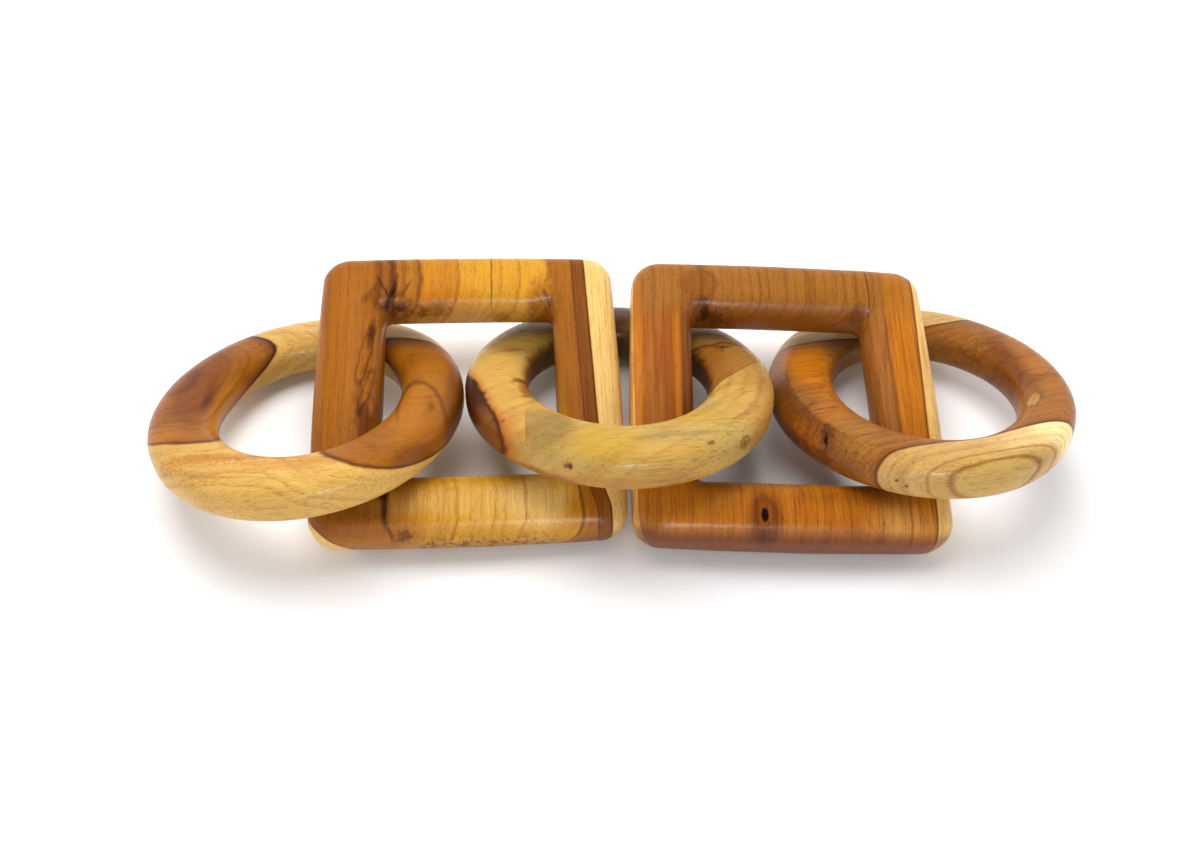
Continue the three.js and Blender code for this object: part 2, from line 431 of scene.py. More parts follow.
def normals_of(loops):
    """The outward directions of a surface."""
    along = np.roll(loops, -1, axis=0) - np.roll(loops, 1, axis=0)
    around = np.roll(loops, -1, axis=1) - np.roll(loops, 1, axis=1)
    normals = np.cross(along, around)
    return normals / np.linalg.norm(normals, axis=-1, keepdims=True)


def carved_by_hand(link, loops, lay, seed, dents):
    """The surface with shallow waves and dents cut into it and its foot worn flat on the table."""
    wave = lay.carving_wave / MM
    seed = Vector(seed)
    waves = np.array([wood_noise.noise(Vector(point / wave + seed)) for point in loops.reshape(-1, 3)])
    cut = (0.5 + 0.5 * waves).reshape(loops.shape[:2]) * (lay.carving_depth / MM)
    for centre, radii, deepest in dents:
        away = (((loops - centre) / radii) ** 2).sum(axis=-1)
        cut += deepest * np.exp(-away)
    carved = loops - normals_of(loops) * cut[..., None]
    points = link.placed(carved.reshape(-1, 3))
    points[:, 2] = np.maximum(points[:, 2], 0)
    return link.inward(points)


def add_link(context, name, wood, seed, flat=None, dents=()):
    """Adds a link as one closed mesh that lies where its solid does.

    The seed sets its waves, the flat is given as shaved takes it, and a dent by centre, radii and depth.
    """
    chain = context.scene.whimsy_chain
    lay = chain.lay
    link = laid_chain(chain)[name]
    loops = link.surface(lay.path_steps, lay.bar_steps)
    if flat:
        loops = link.shaved(loops, **flat)
    points = carved_by_hand(link, loops, lay, seed, dents) * MM
    first = np.arange(lay.path_steps * lay.bar_steps).reshape(lay.path_steps, lay.bar_steps)
    beside = np.roll(first, -1, axis=0)
    corners = [first, beside, np.roll(beside, -1, axis=1), np.roll(first, -1, axis=1)]
    faces = np.stack(corners, axis=-1).reshape(-1, 4)
    mesh = bpy.data.meshes.new(name)
    mesh.from_pydata(points.tolist(), [], faces.tolist())
    mesh.validate()
    mesh.shade_smooth()
    mesh.materials.append(wood(getattr(chain, name + "_wood")))
    piece = bpy.data.objects.new(name + "_carved", mesh)
    context.scene.collection.objects.link(piece)
    pose = Matrix(link.rotation.tolist()).to_4x4()
    pose.translation = Vector(link.position * MM)
    piece.matrix_world = pose
    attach(piece, BODY)
    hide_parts(name)


# Shader nodes: the woods' work in millimetres of the link's own frame

class Field:
    """A number at each point, held by the output of a shader node."""

    def __init__(self, nodes, socket):
        self.nodes = nodes
        self.socket = socket

    def __add__(self, other):
        return self.nodes.math("ADD", self, other)

    def __sub__(self, other):
        return self.nodes.math("SUBTRACT", self, other)

    def __rsub__(self, other):
        return self.nodes.math("SUBTRACT", other, self)

    def __mul__(self, other):
        return self.nodes.math("MULTIPLY", self, other)

    def __truediv__(self, other):
        return self.nodes.math("DIVIDE", self, other)

    def __abs__(self):
        return self.nodes.math("ABSOLUTE", self)

    def rise(self, low, high):
        """A share that goes smoothly from 0 at low to 1 at high."""
        inputs = {"Value": self, "From Min": low, "From Max": high}
        made = self.nodes.node("ShaderNodeMapRange", inputs, interpolation_type="SMOOTHSTEP")
        return Field(self.nodes, made.outputs["Result"])

    def fall(self, low, high):
        """A share that goes smoothly from 1 at low to 0 at high."""
        return 1 - self.rise(low, high)

    def within(self, low, high, soft):
        """A share that is 1 between low and high, with soft ends."""
        return self.rise(low - soft, low + soft) * self.fall(high - soft, high + soft)

    def line(self, width):
        """A share that is 1 where the number is 0, and 0 by the width."""
        return abs(self).fall(0, width)


class Nodes:
    """The shader nodes of a material or a world."""

    def __init__(self, tree):
        self.tree = tree

    def node(self, kind, inputs=None, **settings):
        """A new shader node with its settings, and with its inputs by name or number."""
        made = self.tree.nodes.new(kind)
        for key, value in settings.items():
            setattr(made, key, value)
        for key, value in (inputs or {}).items():
            self.feed(made.inputs[key], value)
        return made

    def feed(self, socket, value):
        """Gives a socket a field, another node's output, or a plain number, vector or colour."""
        if isinstance(value, Field):
            value = value.socket
        if isinstance(value, bpy.types.NodeSocket):
            self.tree.links.new(value, socket)
        elif socket.type == "RGBA":
            socket.default_value = (*value, 1)
        else:
            socket.default_value = value

    def math(self, operation, *values):
        """One step of arithmetic on fields and numbers."""
        made = self.node("ShaderNodeMath", dict(enumerate(values)), operation=operation)
        return Field(self, made.outputs[0])

    def least(self, one, other):
        """The lesser of two fields."""
        return self.math("MINIMUM", one, other)

    def most(self, one, other):
        """The greater of two fields."""
        return self.math("MAXIMUM", one, other)

    def far(self, *sides):
        """The length of a line whose sides are given by fields."""
        squares = [side * side for side in sides]
        return self.math("SQRT", sum(squares[1:], squares[0]))

    def dot(self, vector, direction):
        """How far a vector goes along a direction."""
        made = self.node("ShaderNodeVectorMath", {0: vector, 1: direction}, operation="DOT_PRODUCT")
        return Field(self, made.outputs["Value"])

    def noise_at(self, x, y, z, detail, roughness):
        """Noise from about -1 to 1 at a point given by three fields."""
        place = self.node("ShaderNodeCombineXYZ", {"X": x, "Y": y, "Z": z}).outputs[0]
        inputs = {"Vector": place, "Scale": 1, "Detail": detail, "Roughness": roughness}
        made = self.node("ShaderNodeTexNoise", inputs, noise_dimensions="3D")
        return (Field(self, made.outputs["Fac"]) - 0.5) * 2


class Finish(Nodes):
    """A material's nodes."""

    def __init__(self, name):
        self.material = bpy.data.materials.new(name)
        self.material.use_nodes = True
        super().__init__(self.material.node_tree)
        self.tree.nodes.clear()

    def shown(self, inputs):
        """The material, with a surface of these inputs."""
        shader = self.node("ShaderNodeBsdfPrincipled", inputs)
        self.node("ShaderNodeOutputMaterial", {"Surface": shader.outputs[0]})
        return self.material


# What stains leave of the wood's colour
LINE = (0.3, 0.17, 0.1)
FAINT_LINE = (0.62, 0.44, 0.28)
SMOKE = (0.45, 0.33, 0.26)
EDGE_SHADE = (0.4, 0.24, 0.15)
LATE_WOOD = (0.55, 0.36, 0.2)
BAND_TINT = (0.7, 0.55, 0.4)
CLOUD_TINT = (0.7, 0.56, 0.45)
FIBRE = (0.5, 0.34, 0.21)
PORE = (0.58, 0.4, 0.24)


class Wood(Finish):
    """One link's wood, with its grain near X or Y, in the colour of most of it to begin with."""

    def __init__(self, name, grain, slope, colour):
        super().__init__(name)
        place = self.node("ShaderNodeTexCoord").outputs["Object"]
        scaled = self.node("ShaderNodeVectorMath", {0: place, "Scale": 1 / MM}, operation="SCALE")
        self.points = scaled.outputs[0]
        self.x = self.dot(self.points, (1, 0, 0))
        self.y = self.dot(self.points, (0, 1, 0))
        self.z = self.dot(self.points, (0, 0, 1))
        self.along = self.x if grain == "X" else self.y
        self.across = (self.y if grain == "X" else self.x) - self.along * slope
        self.colour = colour

    def streaks(self, long, wide, seed, detail=2, roughness=0.5):
        """Noise drawn out along the grain, by the length and width of its streaks."""
        return self.noise_at(
            self.along / long + seed, self.across / wide + seed, self.z / wide - seed, detail, roughness
        )

    def clouds(self, size, seed):
        """Noise that is the same in all directions."""
        return self.streaks(size, size, seed)

    def mix(self, blend, share, colour):
        """Mixes a colour into the wood's by a share."""
        inputs = {"Factor": share, 6: self.colour, 7: colour}
        made = self.node("ShaderNodeMix", inputs, data_type="RGBA", blend_type=blend)
        self.colour = made.outputs[2]

    def paint(self, share, colour):
        """Lays a colour over the wood by a share."""
        self.mix("MIX", share, colour)

    def darken(self, share, colour):
        """Darkens the wood by a share: stains, and in places painted shade."""
        self.mix("MULTIPLY", share, colour)

    def patch(self, centre, radii, turn=0, ragged=0, size=6):
        """How far outside an upright ellipsoid, turned about Z, a point is.

        A ragged patch has a border that wanders by so much, in waves of the size.
        """
        offset = self.node("ShaderNodeVectorMath", {0: self.points, 1: centre}, operation="SUBTRACT")
        turned_back = Matrix.Rotation(math.radians(-turn), 3, "Z")
        shares = [self.dot(offset.outputs[0], Vector(turned_back[axis]) / radii[axis]) for axis in range(3)]
        distance = (self.far(*shares) - 1) * min(radii)
        if ragged:
            distance = distance + self.clouds(size, 0) * ragged
        return distance

    def blot(self, centre, radii, colour, share, soft, **shape):
        """Paints a patch by a share, with an edge that is soft by so much to both sides."""
        self.paint(self.patch(centre, radii, **shape).fall(-soft, soft) * share, colour)

    def darken_patch(self, centre, radii, share, soft=1, colour=LINE, **shape):
        """Darkens a patch by a share, with an edge that is soft by so much to both sides; used for stains
        and smudges, and once for painted shade.
        """
        self.darken(self.patch(centre, radii, **shape).fall(-soft, soft) * share, colour)

    def loop(self, centre, radii, share, width, colour=LINE, **shape):
        """Stains a line around a patch by a share."""
        self.darken(self.patch(centre, radii, **shape).line(width) * share, colour)

    def lines(self, value, places, share=1, colour=LINE):
        """Stains a line at each place of a field, given with the line's width and share."""
        for place, width, depth in places:
            self.darken((value - place).line(width) * share * depth, colour)

    def speck(self, start, end, width, share, colour=LINE, wander=0, size=4):
        """Stains a short line between two points, seen from above, that fades out at its ends."""
        middle = [(start[axis] + end[axis]) / 2 for axis in range(2)]
        run = [end[axis] - start[axis] for axis in range(2)]
        half = math.hypot(*run) / 2
        toward = [part / half / 2 for part in run]
        x = self.x - middle[0]
        y = self.y - middle[1]
        aside = y * toward[0] - x * toward[1]
        if wander:
            aside = aside + self.clouds(size, middle[0]) * wander
        ends = abs(x * toward[0] + y * toward[1]).fall(half * 0.75, half * 1.05)
        self.darken(aside.line(width) * ends * share, colour)

    def edge(self, outside, strong, shade, shade_depth=5):
        """Darkens the heartwood along its edge, where a distance rises through 0."""
        self.darken((outside + 0.5).line(1.3) * strong, LINE)
        self.darken(outside.rise(-shade_depth, 0) * outside.fall(-0.4, 0.2) * shade, EDGE_SHADE)

    def rays(self, centre, near, far, share):
        """Stains the rays that fan out from a knot, seen from above, between two distances."""
        along = self.x - centre[0]
        across = self.y - centre[1]
        distance = self.far(along, across)
        rays = self.noise_at(along / distance * 4, across / distance * 4, distance / 25, 3, 0.6)
        self.darken(rays.rise(-0.05, 0.2) * distance.within(near, far, 2.5) * share, LINE)

    def finished(self, growth, ring_width, rings, fibres=0.6, pores=0.5):
        """Draws the growth rings, the fibres and the pores, and varnishes the wood to a satin shine."""
        years = (growth + self.clouds(18, 5.7) * 0.8 + self.clouds(70, 8.1) * 4) / ring_width
        year = self.math("FRACT", years)
        strength = self.noise_at(self.math("FLOOR", years), 0.5, 0.5, 0, 0.5) + 0.5
        late = year.rise(0.35, 0.95) * year.fall(0.95, 1) * strength
        self.darken(late * rings, LATE_WOOD)
        band = self.noise_at(growth / 5, self.along / 110, 0.2, 2, 0.5)
        self.darken(band.rise(-0.1, 0.7) * 0.5, BAND_TINT)
        self.darken(self.clouds(22, 6.4).rise(-0.2, 0.8) * 0.3, CLOUD_TINT)
        fibre = self.streaks(30, 0.9, 1.7, detail=3, roughness=0.7)
        self.darken(fibre.rise(-0.05, 0.5) * fibres, FIBRE)
        vessels = (self.streaks(4, 0.6, 4.2, detail=1) + late * 0.25).rise(0.15, 0.45)
        self.darken(vessels * pores, PORE)
        height = fibre * 0.15 - vessels
        relief = self.node("ShaderNodeBump", {"Strength": 0.35, "Distance": 0.3 * MM, "Height": height})
        return self.shown({
            "Base Color": self.colour,
            "Roughness": self.clouds(9, 2.2) * 0.05 + 0.34 + vessels * 0.15,
            "Specular IOR Level": 0.25,
            "Coat Weight": 0.08,
            "Coat Roughness": 0.2,
            "Normal": relief.outputs[0],
        })


# The woods: their borders, then their marks in the order they are laid on

def left_ring_wood(tones):
    """Brown heartwood on both sides, in pale sapwood that shows at the front and the back."""
    wood = Wood("left_ring_wood", "X", 0, tones.sapwood)
    x, y, z = wood.x, wood.y, wood.z
    # The border of each side is a cone about a leaning axis, and the two blend in the middle.
    left = wood.far(y + 3.7 + x * 0.333, z - 102.2 - x * 0.387) - 95.6 - x * 0.13
    right = wood.far(y - 5.1 + x * 0.405, z - 135) - 133.1 - x * 0.096
    share = x.rise(-12, 12)
    outside = left * (1 - share) + right * share + wood.streaks(14, 7, 9.3) * 0.6
    heart = outside.fall(-0.5, 0.5)
    wood.blot((-40, -54, 12), (34, 4, 10), tones.golden, 0.6, 2, ragged=6, size=2)
    wood.blot((8, -61, 12), (34, 5, 10), tones.golden, 0.4, 2, ragged=6, size=2)
    wood.paint(heart, tones.heartwood)
    wood.blot((-60, 14, 10), (12, 44, 25), tones.dull, heart * 0.8, 6, ragged=3, size=14)
    wood.blot((-70, -29, 6), (15, 9, 20), tones.golden, heart * 0.6, 5)
    wood.blot((-47, 0, -3), (6, 46, 13), tones.golden, heart * 0.85, 2.5)
    wood.blot((60, -20, 10), (7, 45, 14), tones.golden, heart * 0.35, 6, turn=-8)
    wood.blot((86, -5, 4), (12, 50, 20), tones.dull, heart * 0.85, 3)
    wood.blot((62, -58, 0), (16, 14, 12), tones.dull, heart * 0.7, 4)
    wood.edge(outside, 0.8, y.rise(-10, 45) * 0.9, shade_depth=6)
    arcs = ((-9, 1.5, 0.35), (-15, 1.8, 0.3), (-22, 2, 0.4), (-30, 2, 0.3))
    wood.lines(outside, arcs, x.fall(-40, -25))
    wood.loop((-74, 15, 12), (10, 10, 30), y.fall(16, 22) * 0.5, 1.1, ragged=1.2)
    wood.darken_patch((-53.5, 1, 12), (1.6, 9, 20), 0.8, 1.6, SMOKE, ragged=0.8)
    wood.speck((-80, -21.5), (-52, -21), 1.8, 0.4, wander=1.2)
    wood.speck((-78, -28.5), (-48, -28), 1.8, 0.3, wander=1.2)
    wood.speck((-78, -9), (-60, -8), 1.6, 0.25, wander=1)
    wood.speck((-37, 52), (-35.5, 48), 0.9, 0.8)
    wood.loop((64, -30, 12), (12, 32, 40), y.rise(-45, -15) * 0.65, 1.8, turn=12, ragged=1, size=14)
    wood.darken_patch((68, -22, 12), (1.5, 5, 20), 0.5, 1.5, SMOKE, turn=8)
    wood.speck((-50, -65), (0, -72.5), 1.2, 0.45, FAINT_LINE, wander=1.2, size=16)
    wood.speck((-20, -52.5), (30, -61), 1, 0.6, FAINT_LINE, wander=1, size=16)
    wood.speck((-13, 63), (-4.5, 55), 0.7, 0.9, FAINT_LINE, wander=1)
    return wood.finished(outside, 5.5, rings=0.2)


def left_square_wood(tones):
    """Brown heartwood that turns golden in the middle, with pale sapwood on the right."""
    wood = Wood("left_square_wood", "Y", 0, tones.golden)
    x, y, z = wood.x, wood.y, wood.z
    growth = x - (z - 14) * 0.6 + wood.streaks(30, 12, 2.9) * 1.2
    # The brown on the right, then the sapwood past it and the sapwood on the front left corner
    brown = growth + y * 0.086 - 52
    right = x + y * 0.028 - 68.2 - y.fall(-72, -58) * 3
    corner = -91.7 - (x * 0.641 + y * 0.607 + z * 0.469)
    front = y.fall(-40, -30)
    back = y.rise(46, 54)
    bands = growth + wood.clouds(13, 6.1) * 2.5
    wood.darken(back * 0.4, (0.8, 0.74, 0.6))
    wood.paint(bands.fall(-44, -18) * 0.75, tones.heartwood)
    wood.paint(bands.within(-50, -28, 2) * 0.6, tones.heartwood)
    wood.paint(bands.within(-28, -7, 3) * (back * 0.55 + 0.2), tones.rust)
    wood.paint(bands.fall(-43, -40), tones.heartwood)
    wood.blot((-15, 52, 6), (26, 12, 14), tones.rust, 0.5, 5, ragged=4)
    wood.blot((0, 50, 0), (46, 5, 10), tones.sapwood, 0.35, 3, ragged=3)
    wood.blot((18, 50, 0), (5, 5, 6), tones.rust, 0.7, 2, ragged=2, size=4)
    wood.blot((-30, -78, 9), (8, 8, 8), tones.rust, 0.6, 3, ragged=2)
    wood.blot((-70, 10, 8), (8, 60, 25), tones.rust, 0.25, 5, ragged=3)
    wood.blot((-46, 0, 0), (5, 50, 12), tones.dull, 0.7, 3)
    wood.blot((-58, -72, 10), (20, 14, 12), tones.dull, 0.5, 5, ragged=3)
    wood.blot((8, -66, 14), (42, 9, 10), tones.sapwood, 0.4, 5, ragged=4, size=12)
    wood.blot((34, -67, 14), (16, 13, 12), tones.sapwood, 0.75, 6, ragged=4, size=12)
    wood.paint((brown - front * 2).rise(-3, 2), tones.heartwood)
    wood.blot((40, 54, 6), (8, 14, 14), tones.heartwood, 0.7, 3, ragged=4, size=4)
    wood.blot((62, -72, 10), (12, 14, 14), tones.rust, 0.5, 4, ragged=3)
    wood.blot((-54, -80, 8), (16, 8, 12), tones.rust, 0.5, 4, ragged=3)
    wood.darken(right.within(-7.3, 1, 0.6) * 0.6, SMOKE)
    wood.lines(right, ((-7.4, 1.1, 0.7), (-5.2, 0.7, 0.3)))
    wood.paint(wood.most(right.rise(-0.3, 0.3), corner.rise(-0.3, 0.3)), tones.sapwood)
    wood.lines(right, ((-0.4, 1.1, 0.75), (3.2, 0.7, 0.12), (5.5, 0.8, 0.15)))
    wood.lines(corner, ((-0.4, 1.2, 0.5),))
    wood.lines(brown, ((0, 2, 0.85),), front)
    wood.lines(bands, ((-49, 4, 0.7), (-42, 4, 0.9), (-36, 3, 0.35), (-27.5, 3, 0.7)), back)
    faint = ((-27, 2, 0.4), (-13, 2, 0.3), (-6, 2, 0.6), (29, 1.6, 0.5), (19, 2, 0.2))
    wood.lines(bands, faint, colour=FAINT_LINE)
    wood.darken_patch((-44, -59, 12), (3.5, 5, 12), 1, 1.5, (0.16, 0.08, 0.04), ragged=1, size=4)
    wood.darken_patch((-42.5, -67, 12), (1.7, 10, 12), 1, 1.2, (0.2, 0.1, 0.05), ragged=0.8, size=4)
    wood.darken_patch((-33, -81, 8), (5, 3, 5), 0.8, 1.2, ragged=3, size=3)
    wood.darken_patch((-40, -80, 9), (1.2, 5, 8), 0.8, turn=25, ragged=1.2, size=3)
    crack = (0.12, 0.06, 0.03)
    wood.lines(x + wood.clouds(9, 1.2) * 0.5, ((12.8, 0.5, 0.9),), back, crack)
    wood.rays((-48.5, 46), 6, 16, x.rise(-51, -46) * back * 0.95)
    wood.rays((48, 46), 4, 14, x.fall(46, 50) * back * 0.7)
    splits = ((-47, 61, 0.9, 6, 25), (-41, 60, 1.2, 7, -8), (-34.5, 61, 0.8, 5, -30))
    for along, behind, wide, deep, turn in splits:
        wood.darken_patch((along, behind, 12), (wide, deep, 9), 0.8, 0.8, turn=turn, ragged=1, size=3)
    wood.darken_patch((-40, 51, 6), (7, 1.6, 6), 0.9, ragged=2, size=2.5)
    wood.darken_patch((-26, 50, 5), (4, 1.6, 4), 0.8, ragged=1.6, size=2.5)
    wood.darken_patch((-38, 53, 4), (12, 6, 8), 0.7, 2.5, SMOKE, ragged=5, size=4)
    wood.darken_patch((-18, 51, 6), (7, 3, 7), 0.6, 1.6, ragged=4, size=3)
    wood.darken_patch((45.5, 66, 8), (1.5, 14, 12), 0.5, 1.8, ragged=3, size=4)
    wood.darken_patch((-54, 58, 12), (2, 6, 10), 0.7, 1.8, SMOKE, turn=-35, ragged=1.5)
    wood.darken_patch((-53.2, 32, 12), (1.6, 6, 20), 0.8, 1.2, turn=-8, ragged=2, size=5)
    wood.loop((-56, 18, 12), (2.4, 18, 40), 0.6, 1, turn=-9, ragged=1.4, size=9)
    wood.loop((-54.3, -1, 12), (2, 13, 40), 0.6, 0.9, turn=-14, ragged=1.4, size=9)
    wood.darken_patch((-56.5, 4, 12), (1.2, 12, 20), 0.7, 1.6, SMOKE, turn=-12, ragged=2)
    wood.darken_patch((-55, -19, 12), (4, 13, 20), 0.9, 2.5, SMOKE, ragged=5, size=5)
    face = y.fall(-83, -76) * z.fall(3, 13) * x.rise(-60, -20)
    flecks = wood.noise_at(x / 2, y / 3, z / 3.4, 1, 0.5)
    wood.darken(flecks.rise(-0.05, 0.25) * face * x.within(-28, 45, 6) * 0.9, LINE)
    # Painted shade: the lower front face is darkened, less so at its left end.
    wood.darken(face * 0.6, (0.6, 0.55, 0.5))
    return wood.finished(growth, 5, rings=0.25 - front * 0.15, pores=0.4)


def middle_ring_wood(tones):
    """Olive yellow wood with a grey stain, a brown patch on the right and dark heartwood on the left."""
    wood = Wood("middle_ring_wood", "X", 0.12, tones.golden)
    x, y, z = wood.x, wood.y, wood.z
    growth = y * 0.7 - x * 0.5 + z * 0.5
    wood.blot((-66, -20, 8), (18, 38, 25), tones.sapwood, 0.95, 7, ragged=3)
    wood.blot((-52, -45, 12), (16, 16, 25), tones.sapwood, 0.8, 5, ragged=3)
    wood.blot((30, -82, 6), (40, 10, 14), tones.sapwood, 0.6, 5, ragged=3)
    wood.blot((68, -30, 8), (18, 26, 20), tones.sapwood, 0.85, 6, ragged=5)
    wood.blot((74, -50, 0), (14, 20, 12), tones.brown, 0.45, 6, ragged=3)
    wood.blot((-50, 8, 0), (6, 34, 9), tones.brown, 0.6, 3, ragged=4, size=5)
    wood.blot((-56, 42, 10), (30, 24, 25), tones.olive, 0.9, 7, ragged=4, size=12)
    wood.blot((-42, -57, 12), (14, 16, 9), tones.grey, x.rise(-52.5, -51.5) * 0.7, 3, ragged=3)
    wood.blot((-22, -66, 12), (20, 10, 10), tones.olive, 0.3, 5, ragged=5, size=10)
    wood.blot((-12, -70, 9), (18, 14, 12), tones.mustard, 0.65, 5, ragged=6, size=12)
    wood.blot((38, -50, 12), (18, 8, 10), tones.mustard, 0.5, 4, ragged=3)
    wood.blot((5, -82, -6), (75, 10, 9), tones.sapwood, 0.85, 4, ragged=2)
    reach = wood.far(x, y)
    inner = (reach + wood.clouds(8, 5.2) * 3).fall(51, 54) * x.fall(-35, -15)
    wood.darken(inner * y.rise(-25, -5) * 0.8, SMOKE)
    arcs = ((60, 2.5, 0.4), (68, 2.5, 0.35), (77, 3, 0.5))
    wood.lines(reach + wood.clouds(14, 2.7) * 4, arcs, x.rise(45, 60) * y.fall(-15, 5), FAINT_LINE)
    # The brown patch on the right lies between a lower and an upper border.
    lower = y + 22 - (x - 45) * 0.87 + wood.clouds(12, 3.3) * 1.5
    upper = 28.5 - y - wood.least(abs(x - 63), 7) * 0.4 + wood.clouds(9, 4.4) * 2
    side = (x + wood.clouds(12, 7.4) * 8).rise(26, 44)
    patch = wood.least(lower, upper).rise(-0.6, 0.6) * side
    wood.paint((upper * -1).rise(-2, 2) * side * 0.6, tones.brown)
    wood.paint(patch * (0.9 - x.rise(56, 72) * 0.4), tones.brown)
    wood.blot((47, 2, -2), (5.5, 36, 11), tones.dark, 0.75, 2, ragged=3, size=5)
    wood.darken_patch((-54, -9, 8), (6, 2.5, 7), 0.9, 1.4, turn=35, ragged=1.5, size=3)
    wood.darken_patch((-51, -23, 3), (4.5, 13, 10), 0.85, 2, turn=12, ragged=3, size=4)
    wood.lines(lower, ((0, 1.4, 0.6), (4, 1.2, 0.3), (-6, 1.4, 0.2)), y.fall(8, 20) * side)
    wood.lines(upper, ((0, 2.2, 0.85),), side)
    wood.darken_patch((63, 23, 12), (5, 1.6, 20), 0.8, ragged=1.5, size=4)
    wood.speck((62, 24), (60, 16), 1.4, 0.5, wander=1)
    outside = x * 0.945 + 77.8 + y * 0.327 + wood.clouds(9, 9.3) * 2.2
    wood.darken(outside.fall(0, 5.5) * 0.85, (0.85, 0.45, 0.2))
    wood.darken(outside.fall(3, 15) * y.fall(-55, -35) * 0.6, (0.85, 0.55, 0.3))
    wood.paint(outside.fall(-0.6, 0.6), tones.dark)
    wood.paint(outside.within(-7, -1, 2) * y.fall(-45, -25) * 0.6, tones.brown)
    wood.lines(outside, ((0, 1.6, 0.8),))
    wood.blot((-51.5, -17, 5), (3, 9, 9), tones.brown, 0.9, 1.5, ragged=1.2)
    wood.blot((-44, -73, -8), (22, 7, 5), tones.brown, 0.9, 2, turn=-32, ragged=1.5)
    wood.blot((74, 0, 9), (9, 30, 12), tones.brown, 0.35, 4, turn=6, ragged=4)
    # Painted shade: darker along the lower front edge.
    wood.darken_patch((10, -84, -5), (60, 6, 5), 0.7, 3, (0.75, 0.6, 0.45), ragged=2)
    wood.blot((0, 66, 0), (30, 20, 20), tones.dark, 0.95, 6)
    wood.blot((-31.2, -79.8, 3.2), (2.4, 4, 2), tones.brown, 1, 0.7, ragged=1.4, size=2)
    wood.darken_patch((-30.6, -79.8, 3), (1.4, 4, 1.2), 0.9, 0.6, ragged=1, size=2)
    wood.blot((58.3, -62.5, 3.7), (3.6, 4, 3), tones.brown, 0.55, 1, ragged=0.8, size=3)
    wood.loop((58.3, -62.5, 3.7), (3.6, 4, 3), 0.5, 1.3, ragged=0.8, size=3)
    wood.darken_patch((58.3, -62.5, 3), (1.2, 2, 1.6), 0.5, 0.8)
    wood.speck((37, -72), (41, -70), 1.4, 0.8, wander=0.6)
    wood.speck((-64, -50), (-62, -48.5), 1, 0.8)
    wood.darken_patch((22, -66.5, 12), (22, 2.2, 8), 0.4, 1.5, SMOKE, turn=7, ragged=2.5, size=3)
    wood.darken_patch((60, -19, 12), (12, 2.5, 12), 0.25, 2, SMOKE, turn=10, ragged=2.5, size=3)
    grey = wood.streaks(25, 1.4, 7.7, detail=3).rise(0, 0.4)
    wood.darken(grey * x.rise(-5, 10) * y.fall(-25, -5) * 0.4, SMOKE)
    wood.darken(grey * y.rise(8, 20) * x.fall(-30, 0) * 0.75, SMOKE)
    return wood.finished(growth, 7, rings=0.15, fibres=0.5, pores=0.35)


